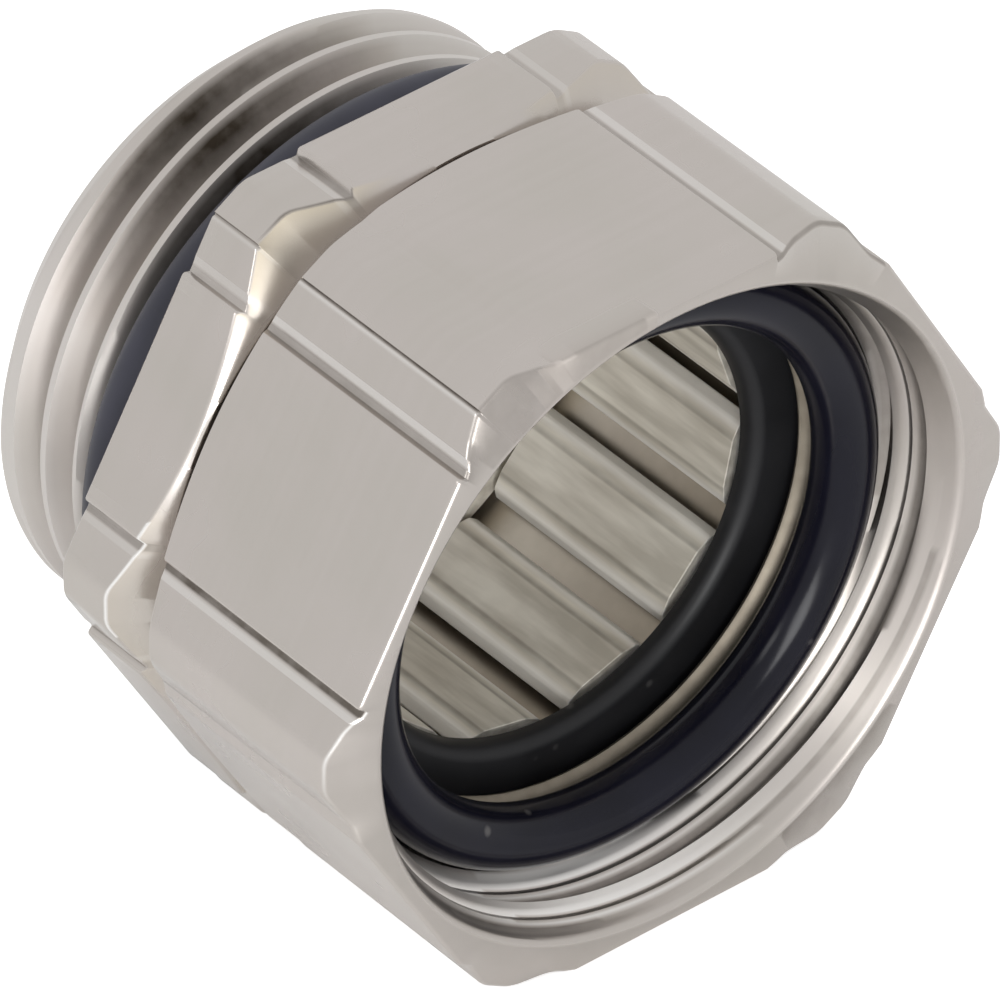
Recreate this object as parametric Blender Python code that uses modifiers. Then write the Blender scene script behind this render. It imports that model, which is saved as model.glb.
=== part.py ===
"""Cable gland of plated brass, lying on its two hexagons with its axis along X.

The gland body carries the entry thread, the narrow hexagon and a hidden front
thread. The compression nut runs on that front thread. A clamping cage with
flexing fingers lines the bore, and rubber rings seal the entry, the cable and
the nut's mouth. Each piece is modelled on its own axis Z, which points out of
the mouth and starts at the face that seats on a panel.
"""

import math

import bpy
import bmesh
from mathutils import Vector

MM = 0.001

# Bore and clamping cage
CABLE_BORE_RADIUS = 7.1 * MM
FINGER_WALL = 0.7 * MM
FINGER_COUNT = 12
FINGER_SLOT = 1.1 * MM
FINGER_TIP_BEVEL = 0.3 * MM
CAGE_TURN = math.radians(3)
CAGE_RING_WIDTH = 0.85 * MM
CAGE_SEAT_DEPTH = 2.45 * MM
CAGE_CLEARANCE = 0.3 * MM

# Gland body
NECK_WALL = 0.6 * MM
NECK_LENGTH = 1.85 * MM
THREAD_RELIEF = 0.38 * MM
ENTRY_THREAD_DEPTH = 0.92 * MM
ENTRY_THREAD_LENGTH = 5.3 * MM
ENTRY_LEAD = 1.0 * MM
ENTRY_RIM = 0.3 * MM
ENTRY_RIM_STEP = 0.05 * MM
ENTRY_PITCH = 1.5 * MM
SPIGOT_WALL = 0.8 * MM
SPIGOT_LENGTH = 3.75 * MM
HEX_THICKNESS = 2.95 * MM
HEX_FACE_INSET = 0.42 * MM
HEX_CHAMFER_ANGLE = math.radians(35)

# Hexagon outline, shared by body and nut: six proud pads between cut corners
PAD_WIDTH = 7.5 * MM
PAD_STEP = 0.2 * MM
PAD_STEP_RUN = 0.25 * MM
CORNER_CUT = 0.35 * MM

# Compression nut
NUT_WALL = 1.52 * MM
NUT_PITCH = 1.25 * MM
NUT_THREAD_DEPTH = 0.65 * MM
THREAD_CLEARANCE = 0.3 * MM
NUT_GAP = 0.3 * MM
NUT_REAR_INSET = 0.17 * MM
NUT_CORNER_RIM = 0.15 * MM
NUT_CORNER_DROP = 0.64 * MM
NUT_CHAMFER_ANGLE = math.radians(30)
SHOULDER_THICKNESS = 0.45 * MM
SHOULDER_OVERLAP = 1.65 * MM
MOUTH_DEPTH = 4.3 * MM
MOUTH_RIM = 0.47 * MM
MOUTH_LEAD = 0.3 * MM
MOUTH_THREAD_DEPTH = 0.4 * MM
MOUTH_THREAD_LENGTH = 2.0 * MM
MOUTH_PITCH = 1.25 * MM

# Rubber rings
SEAL_THICKNESS = 0.7 * MM
SEAL_OVERLAP = 0.5 * MM
SEAL_BORE_CLEARANCE = 0.05 * MM
SEAL_LIP = 0.23 * MM
ENTRY_RING_SECTION = 1.4 * MM
MOUTH_RING_SECTION = 2.0 * MM
RING_CLEARANCE = 0.2 * MM
SEAT_GAP = 0.25 * MM

# Facets
TURN_STEPS = 48
RING_STEPS = 12
THREAD_STEPS = 36
RIDGE_TURN = math.tau / THREAD_STEPS / 8
THREAD_CREST = 0.16
THREAD_ROOT = 0.56
ENTRY_THREAD_ROOT = 0.8
RIDGE_SINK = 0.2 * MM
RIDGE_END_GAP = 0.1 * MM
BLANK_MARGIN = 0.5 * MM
SCREW_MERGE = 0.01 * MM
WELD = 0.001 * MM

# Radii, built outwards from the bore
CAGE_RADIUS = CABLE_BORE_RADIUS + FINGER_WALL
POCKET_RADIUS = CAGE_RADIUS + CAGE_CLEARANCE
NECK_RADIUS = POCKET_RADIUS + NECK_WALL
ENTRY_CORE_RADIUS = NECK_RADIUS + THREAD_RELIEF
ENTRY_RADIUS = ENTRY_CORE_RADIUS + ENTRY_THREAD_DEPTH
SPIGOT_CORE_RADIUS = POCKET_RADIUS + SPIGOT_WALL
SPIGOT_RADIUS = SPIGOT_CORE_RADIUS + NUT_THREAD_DEPTH
NUT_BORE_RADIUS = SPIGOT_RADIUS + THREAD_CLEARANCE
NUT_CREST_RADIUS = SPIGOT_CORE_RADIUS + THREAD_CLEARANCE
PAD_APOTHEM = NUT_BORE_RADIUS + NUT_WALL
CORNER_APOTHEM = PAD_APOTHEM - PAD_STEP
CORNER_RADIUS = CORNER_APOTHEM / math.cos(math.pi / 6) - CORNER_CUT
BLANK_RADIUS = CORNER_RADIUS + BLANK_MARGIN
MOUTH_EDGE_RADIUS = PAD_APOTHEM - MOUTH_RIM
MOUTH_ROOT_RADIUS = MOUTH_EDGE_RADIUS - MOUTH_LEAD
MOUTH_CREST_RADIUS = MOUTH_ROOT_RADIUS - MOUTH_THREAD_DEPTH
MOUTH_RING_RADIUS = MOUTH_CREST_RADIUS - RING_CLEARANCE - MOUTH_RING_SECTION / 2
SHOULDER_BORE_RADIUS = MOUTH_RING_RADIUS + MOUTH_RING_SECTION / 2 - SHOULDER_OVERLAP
ENTRY_RING_RADIUS = NECK_RADIUS + SEAT_GAP + ENTRY_RING_SECTION / 2

# Heights along the axis, from the panel face at zero
ENTRY_END = -NECK_LENGTH - ENTRY_THREAD_LENGTH
CAGE_RING_BOTTOM = -CAGE_SEAT_DEPTH + SEAT_GAP
CAGE_RING_TOP = CAGE_RING_BOTTOM + CAGE_RING_WIDTH
FINGER_ROOT = CAGE_RING_TOP + SEAT_GAP
SPIGOT_END = HEX_THICKNESS + SPIGOT_LENGTH
SEAL_BOTTOM = SPIGOT_END + SEAT_GAP
SEAL_TOP = SEAL_BOTTOM + SEAL_THICKNESS
SHOULDER_BOTTOM = SEAL_TOP + SEAT_GAP
SHOULDER_TOP = SHOULDER_BOTTOM + SHOULDER_THICKNESS
NUT_REAR = HEX_THICKNESS + NUT_GAP
NUT_FRONT = SHOULDER_TOP + MOUTH_DEPTH
TOTAL_LENGTH = NUT_FRONT - ENTRY_END

# Colours and finishes
NICKEL = (0.52, 0.49, 0.44)
NICKEL_ROUGHNESS = 0.32
CAGE_NICKEL = (0.45, 0.42, 0.37)
CAGE_ROUGHNESS = 0.38
RUBBER = (0.013, 0.013, 0.02)
RUBBER_ROUGHNESS = 0.4


def clear_scene():
    for obj in list(bpy.data.objects):
        bpy.data.objects.remove(obj, do_unlink=True)


def new_collection(name):
    collection = bpy.data.collections.new(name)
    bpy.context.scene.collection.children.link(collection)
    return collection


def principled(name, colour, roughness, metallic):
    material = bpy.data.materials.new(name)
    material.use_nodes = True
    shader = material.node_tree.nodes["Principled BSDF"]
    shader.inputs["Base Color"].default_value = (*colour, 1.0)
    shader.inputs["Roughness"].default_value = roughness
    shader.inputs["Metallic"].default_value = metallic
    return material


clear_scene()
PARTS = new_collection("cable_gland")
CUTTERS = new_collection("cutters")
PLATED = principled("nickel_plated_brass", NICKEL, NICKEL_ROUGHNESS, 1.0)
CAGE_METAL = principled("cage_metal", CAGE_NICKEL, CAGE_ROUGHNESS, 1.0)
BLACK_RUBBER = principled("black_rubber", RUBBER, RUBBER_ROUGHNESS, 0.0)

AXIS = bpy.data.objects.new("gland_axis", None)
PARTS.objects.link(AXIS)
AXIS.location = (-ENTRY_END - TOTAL_LENGTH / 2, 0.0, PAD_APOTHEM)
AXIS.rotation_euler = (0.0, math.pi / 2, 0.0)


def add_part(obj, material):
    """Places a finished piece on the gland's axis with its material."""
    PARTS.objects.link(obj)
    obj.parent = AXIS
    obj.data.materials.clear()
    obj.data.materials.append(material)
    return obj


def add_helper(obj):
    """Places a shape that only cuts or joins, on the same axis."""
    CUTTERS.objects.link(obj)
    obj.parent = AXIS
    obj.hide_render = True
    obj.display_type = "WIRE"
    return obj


def section_loop(name, points):
    """A closed outline in the XZ plane, from (radius, height) points."""
    mesh = bpy.data.meshes.new(name)
    shape = bmesh.new()
    corners = [shape.verts.new((radius, 0.0, height)) for radius, height in points]
    for start, end in zip(corners, corners[1:] + corners[:1]):
        shape.edges.new((start, end))
    shape.to_mesh(mesh)
    shape.free()
    return bpy.data.objects.new(name, mesh)


def add_screw(obj, steps, pitch=0.0, turns=1):
    screw = obj.modifiers.new("Screw", "SCREW")
    screw.axis = "Z"
    screw.angle = math.tau
    screw.screw_offset = pitch
    screw.iterations = turns
    screw.steps = steps
    screw.render_steps = steps
    screw.use_merge_vertices = pitch == 0.0
    screw.merge_threshold = SCREW_MERGE
    screw.use_smooth_shade = True


def turned(name, points, steps=TURN_STEPS):
    """A lathe-turned ring, whose outline runs down its outer side."""
    obj = section_loop(name, points)
    add_screw(obj, steps)
    return obj


def evaluated_mesh(obj):
    """The object's shape with its modifiers, as a closed mesh of its own."""
    bpy.context.view_layer.update()
    graph = bpy.context.evaluated_depsgraph_get()
    mesh = bpy.data.meshes.new_from_object(obj.evaluated_get(graph))
    shape = bmesh.new()
    shape.from_mesh(mesh)
    bmesh.ops.remove_doubles(shape, verts=shape.verts, dist=WELD)
    open_edges = [edge for edge in shape.edges if edge.is_boundary]
    bmesh.ops.holes_fill(shape, edges=open_edges)
    bmesh.ops.recalc_face_normals(shape, faces=shape.faces)
    shape.to_mesh(mesh)
    shape.free()
    return mesh


def extruded(name, outline, bottom, top):
    """A prism over a flat outline, made from a filled 2D curve."""
    curve = bpy.data.curves.new(name, "CURVE")
    curve.dimensions = "2D"
    curve.fill_mode = "BOTH"
    curve.extrude = (top - bottom) / 2
    spline = curve.splines.new("POLY")
    spline.points.add(len(outline) - 1)
    for point, (x, y) in zip(spline.points, outline):
        point.co = (x, y, (top + bottom) / 2, 1.0)
    spline.use_cyclic_u = True
    flat = bpy.data.objects.new(name + "_outline", curve)
    CUTTERS.objects.link(flat)
    solid = bpy.data.objects.new(name, evaluated_mesh(flat))
    bpy.data.objects.remove(flat, do_unlink=True)
    return solid


def standing(name, side_view, half_width):
    """A prism over a side view in the XZ plane, as wide on either side of it."""
    solid = extruded(name, side_view, -half_width, half_width)
    places = [(x, -z, y) for x, y, z in (vert.co for vert in solid.data.vertices)]
    for vert, place in zip(solid.data.vertices, places):
        vert.co = place
    return solid


def add_boolean(obj, operation, other):
    boolean = obj.modifiers.new(operation.title(), "BOOLEAN")
    boolean.operation = operation
    boolean.solver = "EXACT"
    boolean.object = other


def add_shading(obj):
    """Keeps flats flat and round faces smooth where the piece is joined."""
    shading = obj.modifiers.new("Shading", "WEIGHTED_NORMAL")
    shading.keep_sharp = True


def polar(radius, angle):
    return (radius * math.cos(angle), radius * math.sin(angle))


def hexagon():
    """Outline of the hexagon: pads, small steps down, and cut corners."""
    corner_half = CORNER_CUT * math.tan(math.pi / 3)
    outline = []
    for side in range(6):
        turn = side * math.pi / 3
        normal = Vector(polar(1.0, turn))
        along = Vector(polar(1.0, turn + math.pi / 2))
        for share in (-1, 1):
            pad_end = normal * PAD_APOTHEM + along * share * PAD_WIDTH / 2
            foot = normal * CORNER_APOTHEM + along * share * (PAD_WIDTH / 2 + PAD_STEP_RUN)
            outline += [foot, pad_end] if share < 0 else [pad_end, foot]
        corner = Vector(polar(CORNER_RADIUS, turn + math.pi / 6))
        across = Vector(polar(1.0, turn + math.pi / 6 + math.pi / 2))
        outline += [corner - across * corner_half, corner + across * corner_half]
    return [tuple(point) for point in outline]


def chamfer_drop(inner_radius, angle):
    return (BLANK_RADIUS - inner_radius) * math.tan(angle)


def ridge(name, root, crest, pitch, root_share, bottom, top):
    """One helical thread ridge, cut off square at both ends.

    The ridge stands on the root radius and points to the crest radius, so it
    serves a male thread as well as a female one.
    """
    sink = root + math.copysign(RIDGE_SINK, root - crest)
    half_root = root_share * pitch / 2
    half_crest = THREAD_CREST * pitch / 2
    start = bottom - pitch
    points = [
        (sink, start + half_root),
        (root, start + half_root),
        (crest, start + half_crest),
        (crest, start - half_crest),
        (root, start - half_root),
        (sink, start - half_root),
    ]
    sweep = section_loop(name + "_sweep", points)
    turns = math.ceil((top - bottom) / pitch) + 2
    add_screw(sweep, THREAD_STEPS, pitch, turns)
    CUTTERS.objects.link(sweep)
    coil = add_helper(bpy.data.objects.new(name, evaluated_mesh(sweep)))
    coil.rotation_euler = (0.0, 0.0, RIDGE_TURN)
    coil.modifiers.new("Triangles", "TRIANGULATE")
    bpy.data.objects.remove(sweep, do_unlink=True)
    return coil


def trim(obj, name, points):
    """Keeps only what lies inside a turned envelope."""
    envelope = add_helper(turned(name, points))
    add_boolean(obj, "INTERSECT", envelope)


def gland_body():
    """Turned barrel with a hexagon flange and a thread at either end."""
    inside_wall = POCKET_RADIUS + NECK_WALL / 2
    rim_top = ENTRY_END + ENTRY_LEAD + ENTRY_RIM
    flank = (ENTRY_THREAD_ROOT - THREAD_CREST) * ENTRY_PITCH / 2
    body = turned(
        "gland_body",
        [
            (SPIGOT_CORE_RADIUS, SPIGOT_END),
            (SPIGOT_CORE_RADIUS, HEX_THICKNESS / 2),
            (NECK_RADIUS, HEX_THICKNESS / 2),
            (NECK_RADIUS, -NECK_LENGTH),
            (ENTRY_CORE_RADIUS, -NECK_LENGTH),
            (ENTRY_CORE_RADIUS, rim_top + flank),
            (ENTRY_RADIUS, rim_top),
            (ENTRY_RADIUS, rim_top - ENTRY_RIM),
            (ENTRY_RADIUS - ENTRY_LEAD, ENTRY_END),
            (CABLE_BORE_RADIUS, ENTRY_END),
            (CABLE_BORE_RADIUS, -CAGE_SEAT_DEPTH),
            (POCKET_RADIUS, -CAGE_SEAT_DEPTH),
            (POCKET_RADIUS, SPIGOT_END),
        ],
    )

    face_radius = PAD_APOTHEM - HEX_FACE_INSET
    flange = add_helper(
        turned(
            "flange_blank",
            [
                (face_radius, HEX_THICKNESS),
                (BLANK_RADIUS, HEX_THICKNESS - chamfer_drop(face_radius, HEX_CHAMFER_ANGLE)),
                (BLANK_RADIUS, 0.0),
                (inside_wall, 0.0),
                (inside_wall, HEX_THICKNESS),
            ],
        )
    )
    bar = add_helper(extruded("flange_hexagon", hexagon(), -BLANK_MARGIN, HEX_THICKNESS + BLANK_MARGIN))
    add_boolean(flange, "INTERSECT", bar)

    entry_top = -NECK_LENGTH - RIDGE_END_GAP
    entry_bottom = rim_top - ENTRY_RIM / 2
    entry_outside = ENTRY_RADIUS + RIDGE_SINK
    entry = ridge(
        "entry_ridge", ENTRY_CORE_RADIUS, ENTRY_RADIUS - ENTRY_RIM_STEP, ENTRY_PITCH, ENTRY_THREAD_ROOT,
        ENTRY_END, -NECK_LENGTH,
    )
    trim(
        entry,
        "entry_envelope",
        [
            (ENTRY_CORE_RADIUS, entry_top),
            (entry_outside, entry_top - (entry_outside - ENTRY_CORE_RADIUS)),
            (entry_outside, entry_bottom),
            (inside_wall, entry_bottom),
            (inside_wall, entry_top),
        ],
    )
    front_top = SPIGOT_END - RIDGE_END_GAP
    front_outside = SPIGOT_RADIUS + RIDGE_SINK
    front = ridge(
        "spigot_ridge", SPIGOT_CORE_RADIUS, SPIGOT_RADIUS, NUT_PITCH, THREAD_ROOT,
        HEX_THICKNESS, SPIGOT_END,
    )
    trim(
        front,
        "spigot_envelope",
        [
            (SPIGOT_CORE_RADIUS, front_top),
            (front_outside, front_top - (front_outside - SPIGOT_CORE_RADIUS)),
            (front_outside, HEX_THICKNESS + NUT_GAP),
            (inside_wall, HEX_THICKNESS + NUT_GAP),
            (inside_wall, front_top),
        ],
    )
    for piece in (entry, front, flange):
        add_boolean(body, "UNION", piece)
    add_shading(body)
    return add_part(body, PLATED)


def corner_relief(corner):
    """Wedge that slopes one of the nut's front corners back from the mouth."""
    start = MOUTH_EDGE_RADIUS + NUT_CORNER_RIM
    slope = NUT_CORNER_DROP / (CORNER_RADIUS - start)
    above = NUT_FRONT + slope * BLANK_MARGIN
    side_view = [
        (start - BLANK_MARGIN, above),
        (BLANK_RADIUS, NUT_FRONT - slope * (BLANK_RADIUS - start)),
        (BLANK_RADIUS, above),
    ]
    step_middle = Vector(((PAD_APOTHEM + CORNER_APOTHEM) / 2, (PAD_WIDTH + PAD_STEP_RUN) / 2))
    half_width = -step_middle.dot(Vector(polar(1.0, math.pi / 6 + math.pi / 2)))
    wedge = standing(f"corner_relief_{corner + 1}", side_view, half_width)
    wedge.rotation_euler = (0.0, 0.0, (corner + 0.5) * math.pi / 3)
    return add_helper(wedge)


def compression_nut():
    """Hexagon nut with a thread behind its inner shoulder and one in its mouth."""
    rear_radius = PAD_APOTHEM - NUT_REAR_INSET
    ring_seat_radius = MOUTH_CREST_RADIUS + RING_CLEARANCE / 4
    mouth_thread_end = NUT_FRONT - MOUTH_LEAD - MOUTH_THREAD_LENGTH
    nut = turned(
        "compression_nut",
        [
            (MOUTH_EDGE_RADIUS, NUT_FRONT),
            (BLANK_RADIUS, NUT_FRONT),
            (BLANK_RADIUS, NUT_REAR + chamfer_drop(rear_radius, NUT_CHAMFER_ANGLE)),
            (rear_radius, NUT_REAR),
            (NUT_BORE_RADIUS, NUT_REAR),
            (NUT_BORE_RADIUS, SHOULDER_BOTTOM),
            (SHOULDER_BORE_RADIUS, SHOULDER_BOTTOM),
            (SHOULDER_BORE_RADIUS, SHOULDER_TOP),
            (ring_seat_radius, SHOULDER_TOP),
            (ring_seat_radius, mouth_thread_end),
            (MOUTH_ROOT_RADIUS, mouth_thread_end),
            (MOUTH_ROOT_RADIUS, NUT_FRONT - MOUTH_LEAD),
        ],
    )
    bar = add_helper(
        extruded("nut_hexagon", hexagon(), NUT_REAR - BLANK_MARGIN, NUT_FRONT + BLANK_MARGIN)
    )
    add_boolean(nut, "INTERSECT", bar)
    for corner in range(6):
        add_boolean(nut, "DIFFERENCE", corner_relief(corner))

    outside = NUT_BORE_RADIUS + RIDGE_SINK + NUT_WALL / 4
    rear_bottom = NUT_REAR + RIDGE_END_GAP
    rear = ridge(
        "nut_ridge", NUT_BORE_RADIUS, NUT_CREST_RADIUS, NUT_PITCH, THREAD_ROOT,
        HEX_THICKNESS - NUT_PITCH / 2, SPIGOT_END + NUT_PITCH / 2,
    )
    trim(
        rear,
        "nut_envelope",
        [
            (outside, SPIGOT_END),
            (outside, rear_bottom),
            (NUT_BORE_RADIUS, rear_bottom),
            (SPIGOT_CORE_RADIUS, rear_bottom + NUT_BORE_RADIUS - SPIGOT_CORE_RADIUS),
            (SPIGOT_CORE_RADIUS, SPIGOT_END),
        ],
    )
    mouth = ridge(
        "mouth_ridge", MOUTH_ROOT_RADIUS, MOUTH_CREST_RADIUS, MOUTH_PITCH, THREAD_ROOT,
        mouth_thread_end, NUT_FRONT,
    )
    mouth_top = NUT_FRONT - MOUTH_LEAD - RIDGE_END_GAP
    mouth_outside = MOUTH_ROOT_RADIUS + RIDGE_SINK + MOUTH_RIM / 4
    trim(
        mouth,
        "mouth_envelope",
        [
            (mouth_outside, mouth_top),
            (mouth_outside, mouth_thread_end - RIDGE_END_GAP),
            (MOUTH_RING_RADIUS, mouth_thread_end - RIDGE_END_GAP),
            (MOUTH_RING_RADIUS, mouth_top - (MOUTH_ROOT_RADIUS - MOUTH_RING_RADIUS)),
            (MOUTH_ROOT_RADIUS, mouth_top),
        ],
    )
    for piece in (rear, mouth):
        add_boolean(nut, "UNION", piece)
    add_shading(nut)
    return add_part(nut, PLATED)


def o_ring(name, radius, section, height):
    """Round-section rubber ring."""
    points = []
    for step in range(RING_STEPS):
        across, up = polar(section / 2, -math.tau * step / RING_STEPS)
        points.append((radius + across, height + up))
    return add_part(turned(name, points), BLACK_RUBBER)


def cable_seal():
    """Flat rubber ring that the nut's shoulder presses on the finger tips."""
    inner = CABLE_BORE_RADIUS + SEAL_BORE_CLEARANCE
    outer = SPIGOT_CORE_RADIUS + SEAL_OVERLAP
    seal = turned(
        "cable_seal",
        [
            (inner + SEAL_LIP, SEAL_TOP),
            (outer, SEAL_TOP),
            (outer, SEAL_BOTTOM),
            (inner, SEAL_BOTTOM),
            (inner, SEAL_TOP - SEAL_LIP),
        ],
    )
    return add_part(seal, BLACK_RUBBER)


def cage_ring():
    """Base ring that joins the fingers' roots in the body's pocket."""
    ring = turned(
        "cage_ring",
        [
            (CAGE_RADIUS, CAGE_RING_TOP),
            (CAGE_RADIUS, CAGE_RING_BOTTOM),
            (CABLE_BORE_RADIUS, CAGE_RING_BOTTOM),
            (CABLE_BORE_RADIUS, CAGE_RING_TOP),
        ],
    )
    return add_part(ring, CAGE_METAL)


def cage_finger(number):
    """One clamping finger, with its origin at the root where it bends."""
    half_pitch = math.pi / FINGER_COUNT
    half_width = CABLE_BORE_RADIUS * math.tan(half_pitch) - FINGER_SLOT / 2
    outer = math.sqrt(CAGE_RADIUS**2 - half_width**2)
    bend_radius = (CABLE_BORE_RADIUS + outer) / 2
    bend_height = FINGER_ROOT - SEAT_GAP / 2
    inner_edge = CABLE_BORE_RADIUS - bend_radius
    outer_edge = outer - bend_radius
    root = FINGER_ROOT - bend_height
    tip = SPIGOT_END - bend_height
    side_view = [
        (inner_edge, root),
        (outer_edge, root),
        (outer_edge, tip - FINGER_TIP_BEVEL),
        (outer_edge - FINGER_TIP_BEVEL, tip),
        (inner_edge, tip),
    ]
    finger = standing(f"cage_finger_{number:02d}", side_view, half_width)
    angle = CAGE_TURN + half_pitch * (2 * number - 1)
    finger.location = (*polar(bend_radius, angle), bend_height)
    finger.rotation_euler = (0.0, 0.0, angle)
    return add_part(finger, CAGE_METAL)


gland_body()
o_ring("entry_o_ring", ENTRY_RING_RADIUS, ENTRY_RING_SECTION, -SEAT_GAP - ENTRY_RING_SECTION / 2)
cage_ring()
for number in range(1, FINGER_COUNT + 1):
    cage_finger(number)
cable_seal()
compression_nut()
o_ring(
    "mouth_o_ring", MOUTH_RING_RADIUS, MOUTH_RING_SECTION,
    SHOULDER_TOP + RING_CLEARANCE + MOUTH_RING_SECTION / 2,
)
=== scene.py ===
import math

import bmesh
import bpy
from mathutils import Matrix, Vector


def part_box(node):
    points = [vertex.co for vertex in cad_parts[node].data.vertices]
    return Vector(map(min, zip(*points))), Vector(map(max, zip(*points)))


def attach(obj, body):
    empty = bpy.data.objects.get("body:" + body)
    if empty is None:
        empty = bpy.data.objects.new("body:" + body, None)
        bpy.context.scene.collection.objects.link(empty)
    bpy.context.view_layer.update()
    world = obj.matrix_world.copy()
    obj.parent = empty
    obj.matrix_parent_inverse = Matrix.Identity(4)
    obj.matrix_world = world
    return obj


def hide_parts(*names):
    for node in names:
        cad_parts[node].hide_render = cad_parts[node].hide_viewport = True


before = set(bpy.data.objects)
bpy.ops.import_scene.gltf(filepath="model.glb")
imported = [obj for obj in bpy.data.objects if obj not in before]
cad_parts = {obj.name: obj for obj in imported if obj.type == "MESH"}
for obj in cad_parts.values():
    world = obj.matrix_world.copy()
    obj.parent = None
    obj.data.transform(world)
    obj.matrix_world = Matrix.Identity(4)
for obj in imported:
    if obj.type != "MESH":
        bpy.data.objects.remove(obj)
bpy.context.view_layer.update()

# The gland body is one piece of turned brass, plated with nickel: a bore with a pocket for the clamping
# cage, a plain neck for the O-ring and a thread at either end. It is modelled in millimetres on the gland's
# own axis, Z out of the mouth from the panel face, and then laid down in the frame.
millimetre = 0.001
entry_end, neck_end = -7.15, -1.85
entry_crest, entry_root, entry_pitch = 10.0, 9.08, 1.5
entry_crest_height, entry_crest_turn = -3.0, 175
end_face_radius, rim_length, rim_slope = 9.0, 1.3, 1.7
neck_radius, relief_radius, relief_slope = 8.7, 8.9, 1.3
cable_bore, pocket_radius, pocket_floor = 7.1, 8.1, -2.45
spigot_start, spigot_end = 2.95, 6.7
spigot_crest, spigot_pitch, spigot_phase = 9.55, 1.25, 1.7
entry_break, spigot_break = 0.15, 0.1

body_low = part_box("gland_body")[0]
nut_low, nut_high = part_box("compression_nut")
axis_height = (nut_low.z + nut_high.z) / 2
panel_x = body_low.x - entry_end * millimetre
lay_down = (
    Matrix.Translation((panel_x, 0.0, axis_height))
    @ Matrix.Rotation(math.pi / 2, 4, "Y")
    @ Matrix.Scale(millimetre, 4)
)


def turned(points, steps=240):
    """Spins a chain of (radius, height) points once round the axis."""
    shape = bmesh.new()
    verts = [shape.verts.new((radius, 0.0, height)) for radius, height in points]
    chain = [shape.edges.new(pair) for pair in zip(verts, verts[1:])]
    bmesh.ops.spin(
        shape,
        geom=verts + chain,
        cent=(0, 0, 0),
        axis=(0, 0, 1),
        angle=math.tau,
        steps=steps,
        use_merge=True,
    )
    return shape


def thread(profile, pitch, phase, bottom, top, limit, steps=240):
    """Screws one pitch of (radius, height) profile along the axis and presses it into its limits."""
    shape = bmesh.new()
    start = bottom - 2 * pitch
    start += (phase - start) % pitch
    verts = [shape.verts.new((radius, 0.0, start + height)) for radius, height in profile]
    chain = [shape.edges.new(pair) for pair in zip(verts, verts[1:])]
    bmesh.ops.spin(
        shape,
        geom=verts + chain,
        cent=(0, 0, 0),
        axis=(0, 0, 1),
        dvec=(0, 0, pitch / steps),
        angle=math.tau,
        steps=steps,
    )
    one_turn = shape.verts[:] + shape.edges[:] + shape.faces[:]
    for turn in range(1, math.ceil((top - bottom) / pitch) + 3):
        copied = bmesh.ops.duplicate(shape, geom=one_turn)["geom"]
        copied = [item for item in copied if isinstance(item, bmesh.types.BMVert)]
        bmesh.ops.translate(shape, vec=(0, 0, pitch * turn), verts=copied)
    bmesh.ops.remove_doubles(shape, verts=shape.verts, dist=0.001)
    for vert in shape.verts:
        vert.co.z = min(max(vert.co.z, bottom), top)
        radius = math.hypot(vert.co.x, vert.co.y)
        scale = limit(radius, vert.co.z) / radius
        vert.co.x *= scale
        vert.co.y *= scale
    return shape


def v_profile(root, crest, pitch, crest_flat, root_flat, steps=4):
    """One pitch of a V thread from root to root, with its crest at height zero."""
    flank = (pitch - crest_flat - root_flat) / 2
    half = [(root, -pitch / 2), (root, -crest_flat / 2 - flank)]
    for step in range(1, steps):
        share = step / steps
        half.append((root + (crest - root) * share, -crest_flat / 2 - flank * (1 - share)))
    half += [(crest, -crest_flat / 2), (crest, 0.0)]
    return half + [(radius, -height) for radius, height in half[-2::-1]]


def entry_limit(radius, height):
    """A lead at the neck, and a full rim with a lead at the entry end."""
    neck_lead = relief_radius + (neck_end - height) * relief_slope
    end_lead = end_face_radius + (height - entry_end)
    rim = entry_crest - max(0.0, height - entry_end - rim_length) * rim_slope
    return min(max(radius, rim), entry_crest, neck_lead, end_lead)


def spigot_limit(radius, height):
    """A lead at either end of the thread that the nut hides."""
    return min(radius, relief_radius + max(0.0, min(spigot_end - height, height - spigot_start)))


entry_thread = thread(
    v_profile(entry_root, entry_crest, entry_pitch, crest_flat=0.24, root_flat=0.22),
    entry_pitch,
    entry_crest_height + entry_pitch * entry_crest_turn / 360,
    entry_end,
    neck_end,
    entry_limit,
)
spigot_thread = thread(
    v_profile(relief_radius, spigot_crest, spigot_pitch, crest_flat=0.2, root_flat=0.5),
    spigot_pitch,
    spigot_phase,
    spigot_start,
    spigot_end,
    spigot_limit,
)
bore = turned(
    [
        (end_face_radius, entry_end),
        (cable_bore + entry_break, entry_end),
        (cable_bore, entry_end + entry_break),
        (cable_bore, pocket_floor),
        (pocket_radius, pocket_floor),
        (pocket_radius, 0.0),
        (pocket_radius, spigot_end - spigot_break),
        (pocket_radius + spigot_break, spigot_end),
        (relief_radius, spigot_end),
    ]
)
neck = turned(
    [
        (relief_radius, neck_end),
        (neck_radius + 0.02, neck_end),
        (neck_radius, neck_end + 0.05),
        (neck_radius, 0.0),
    ]
)

# The narrow hexagon belongs to the same body. Six pads stand a little proud of its sides, with a fine
# groove at the foot of each end, and a wide turned chamfer takes down its front corners next to the nut.
# One corner has a nick along it, and the plate is stained and worn through at its edges, with painted shade
# in its grooves and painted highlight lines beside them and along the chamfer.
pad_apothem, facet_apothem, outer_skin = 11.37, 11.17, 10.95
pad_half, step_half, facet_half, side_half = 3.72, 4.3, 5.72, 6.2
corner_reach, corner_fall, corner_round = 6.45, 0.36, 1.1
groove_start, groove_end = 3.79, 4.0
fine_from, fine_to = 3.6, 4.4
nick_side, nick_depth, nick_middle, nick_end = 4, 0.08, 5.65, 5.56
flange_front, chamfer_start, chamfer_angle = 3.1, 11.15, 38
body_groove, recess_radius, seat_radius = 0.04, 10.4, 10.6


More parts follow.
